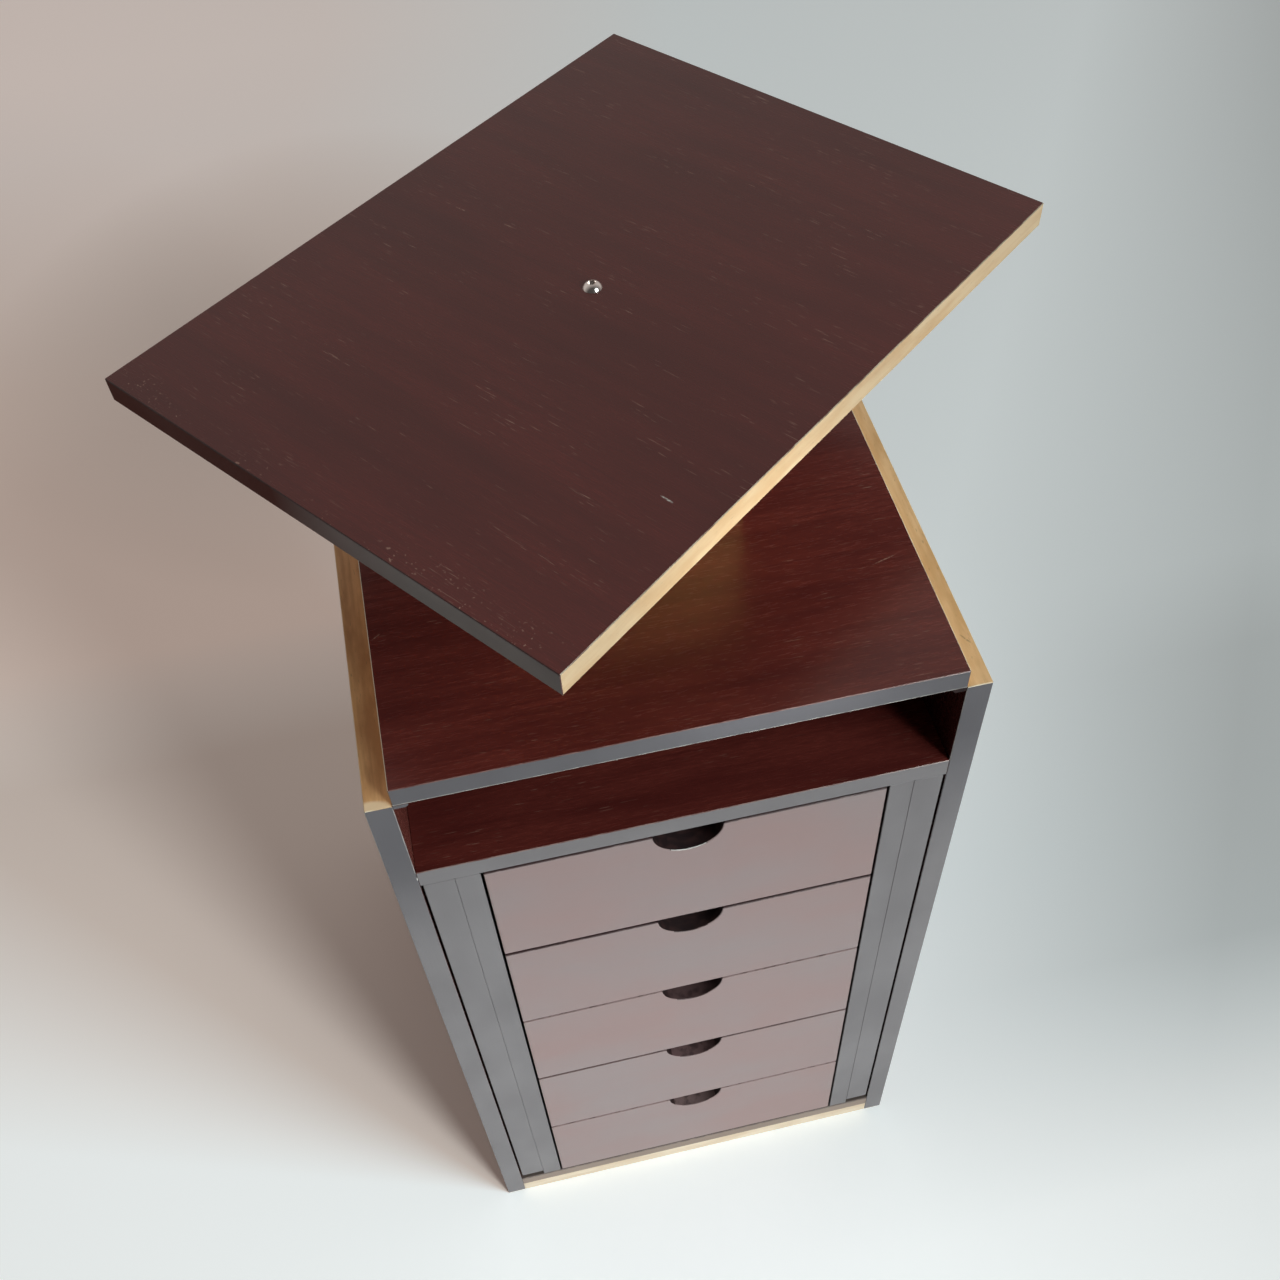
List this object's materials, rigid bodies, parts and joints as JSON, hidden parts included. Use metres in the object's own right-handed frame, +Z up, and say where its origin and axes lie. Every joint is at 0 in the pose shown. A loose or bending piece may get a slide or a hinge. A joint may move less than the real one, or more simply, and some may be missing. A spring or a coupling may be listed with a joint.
{
  "type": "chest of drawers",
  "caption": "Tall narrow wooden chest with stacked inset drawers with finger notches, an open compartment and a rectangular top board that swivels on a raised pedestal.",
  "frame": {"origin": "on the floor under the middle of the case, which is also under the swivel's axis", "axes": "+X to the right and +Y to the back as seen from the drawer fronts, +Z up"},
  "size_m": [0.6272, 0.608, 0.9738],
  "materials": {
    "stained_veneer": "dark red-brown stained open-pored veneer, satin lacquer",
    "grey_edge": "matt grey painted board edges",
    "drawer_face": "matt mauve grey painted drawer fronts",
    "natural_wood": "clear lacquered pale wood",
    "chrome": "polished",
    "zinc_steel": "zinc plated"
  },
  "bodies": {
    "case": {"left_side": "stained_veneer", "right_side": "stained_veneer", "base_panel": "natural_wood", "case_bottom": "grey_edge", "shelf_panel": "stained_veneer", "liner_left": "grey_edge", "liner_right": "grey_edge", "filler_left": "grey_edge", "filler_right": "grey_edge", "cleat_left": "stained_veneer", "cleat_right": "stained_veneer", "back_panel": "stained_veneer", "top_panel": "stained_veneer", "case_tenons": "natural_wood", "pedestal_front": "natural_wood", "pedestal_back": "natural_wood", "pedestal_left": "natural_wood", "pedestal_right": "natural_wood", "pedestal_cap": "natural_wood", "pedestal_screws": "zinc_steel", "pivot_bolt": "chrome", "pivot_washer": "zinc_steel", "pivot_nut": "zinc_steel", "runner_1_left": "natural_wood", "runner_1_right": "natural_wood", "runner_2_left": "natural_wood", "runner_2_right": "natural_wood", "runner_3_left": "natural_wood", "runner_3_right": "natural_wood", "runner_4_left": "natural_wood", "runner_4_right": "natural_wood", "runner_5_left": "natural_wood", "runner_5_right": "natural_wood"},
    "swivel_board": {"swivel_top": "stained_veneer"},
    "drawer_1": {"drawer_1_front": "drawer_face", "drawer_1_left": "natural_wood", "drawer_1_right": "natural_wood", "drawer_1_back": "natural_wood", "drawer_1_bottom": "natural_wood"},
    "drawer_2": {"drawer_2_front": "drawer_face", "drawer_2_left": "natural_wood", "drawer_2_right": "natural_wood", "drawer_2_back": "natural_wood", "drawer_2_bottom": "natural_wood"},
    "drawer_3": {"drawer_3_front": "drawer_face", "drawer_3_left": "natural_wood", "drawer_3_right": "natural_wood", "drawer_3_back": "natural_wood", "drawer_3_bottom": "natural_wood"},
    "drawer_4": {"drawer_4_front": "drawer_face", "drawer_4_left": "natural_wood", "drawer_4_right": "natural_wood", "drawer_4_back": "natural_wood", "drawer_4_bottom": "natural_wood"},
    "drawer_5": {"drawer_5_front": "drawer_face", "drawer_5_left": "natural_wood", "drawer_5_right": "natural_wood", "drawer_5_back": "natural_wood", "drawer_5_bottom": "natural_wood"}
  },
  "joints": [
    {"name": "board_turn", "type": "hinge", "parent": "case", "child": "swivel_board", "pos_m": [0, 0, 0.961], "axis": [0, 0, 1], "continuous": true},
    {"name": "drawer_1_slide", "type": "slide", "parent": "case", "child": "drawer_1", "axis": [0, -1, 0], "range_m": [0, 0.35]},
    {"name": "drawer_2_slide", "type": "slide", "parent": "case", "child": "drawer_2", "axis": [0, -1, 0], "range_m": [0, 0.35]},
    {"name": "drawer_3_slide", "type": "slide", "parent": "case", "child": "drawer_3", "axis": [0, -1, 0], "range_m": [0, 0.35]},
    {"name": "drawer_4_slide", "type": "slide", "parent": "case", "child": "drawer_4", "axis": [0, -1, 0], "range_m": [0, 0.35]},
    {"name": "drawer_5_slide", "type": "slide", "parent": "case", "child": "drawer_5", "axis": [0, -1, 0], "range_m": [0, 0.35]}
  ]
}
